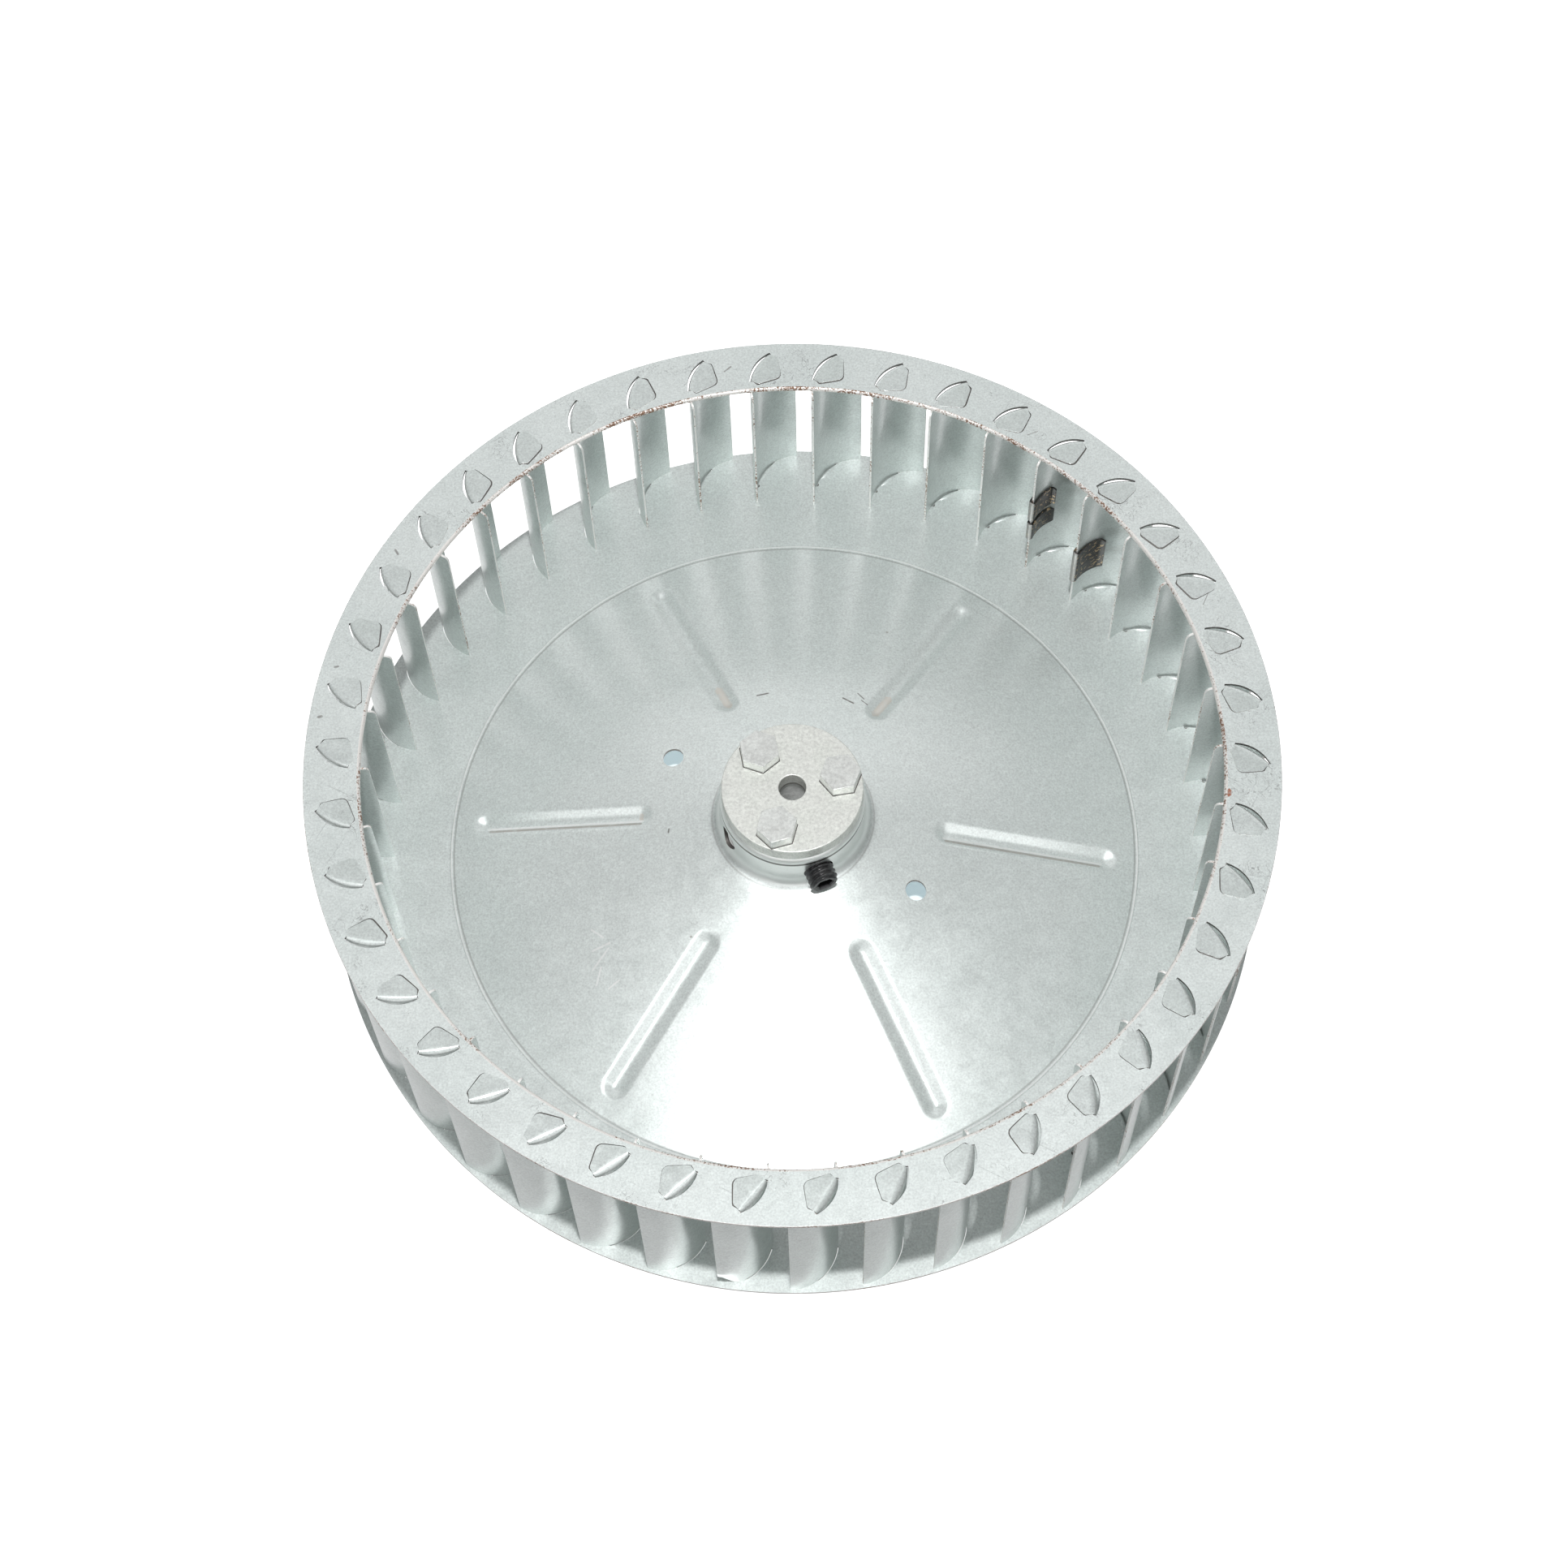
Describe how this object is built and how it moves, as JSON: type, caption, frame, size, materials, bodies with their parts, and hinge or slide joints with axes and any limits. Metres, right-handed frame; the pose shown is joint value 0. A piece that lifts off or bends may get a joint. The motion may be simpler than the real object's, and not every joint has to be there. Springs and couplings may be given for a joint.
{
  "type": "blower wheel",
  "caption": "Forward-curved centrifugal blower wheel: curved blades crimped between an inlet ring and a dished back plate, on a bored hub with a set screw.",
  "frame": {"origin": "on the spin axis, in the plane that the wheel lies on (undersides of the tabs folded under the back plate)", "axes": "+Z along the spin axis towards the inlet side; the set screw points outwards near -Y"},
  "size_m": [0.2508, 0.2508, 0.0584],
  "materials": {
    "galvanised_ring": "satin",
    "galvanised_plate": "satin",
    "galvanised_blade": "satin",
    "hub_steel": "machined",
    "zinc_disc": "matt",
    "zinc_bolt": "satin",
    "black_oxide": "satin",
    "spring_steel": "satin"
  },
  "bodies": {
    "wheel": {"inlet_ring": "galvanised_ring", "back_plate": "galvanised_plate", "blade_01": "galvanised_blade", "blade_02": "galvanised_blade", "blade_03": "galvanised_blade", "blade_04": "galvanised_blade", "blade_05": "galvanised_blade", "blade_06": "galvanised_blade", "blade_07": "galvanised_blade", "blade_08": "galvanised_blade", "blade_09": "galvanised_blade", "blade_10": "galvanised_blade", "blade_11": "galvanised_blade", "blade_12": "galvanised_blade", "blade_13": "galvanised_blade", "blade_14": "galvanised_blade", "blade_15": "galvanised_blade", "blade_16": "galvanised_blade", "blade_17": "galvanised_blade", "blade_18": "galvanised_blade", "blade_19": "galvanised_blade", "blade_20": "galvanised_blade", "blade_21": "galvanised_blade", "blade_22": "galvanised_blade", "blade_23": "galvanised_blade", "blade_24": "galvanised_blade", "blade_25": "galvanised_blade", "blade_26": "galvanised_blade", "blade_27": "galvanised_blade", "blade_28": "galvanised_blade", "blade_29": "galvanised_blade", "blade_30": "galvanised_blade", "blade_31": "galvanised_blade", "blade_32": "galvanised_blade", "blade_33": "galvanised_blade", "blade_34": "galvanised_blade", "blade_35": "galvanised_blade", "blade_36": "galvanised_blade", "blade_37": "galvanised_blade", "blade_38": "galvanised_blade", "blade_39": "galvanised_blade", "blade_40": "galvanised_blade", "blade_41": "galvanised_blade", "blade_42": "galvanised_blade", "hub": "hub_steel", "hub_clamp_disc": "zinc_disc", "hub_bolts": "zinc_bolt"},
    "set_screw": {"set_screw": "black_oxide"},
    "clip_1": {"balance_clip_1": "spring_steel"},
    "clip_2": {"balance_clip_2": "spring_steel"},
    "clip_3": {"balance_clip_3": "spring_steel"}
  },
  "joints": [
    {"name": "set_screw_travel", "type": "slide", "parent": "wheel", "child": "set_screw", "axis": [-0.3338, 0.9426, 0], "range_m": [-0.004, 0.0046]},
    {"name": "clip_1_slide", "type": "slide", "parent": "wheel", "child": "clip_1", "axis": [0, 0, 1], "range_m": [-0.0008, 0.014]},
    {"name": "clip_2_slide", "type": "slide", "parent": "wheel", "child": "clip_2", "axis": [0, 0, 1], "range_m": [-0.014, 0.0008]},
    {"name": "clip_3_slide", "type": "slide", "parent": "wheel", "child": "clip_3", "axis": [0, 0, 1], "range_m": [-0.01, 0.022]}
  ]
}
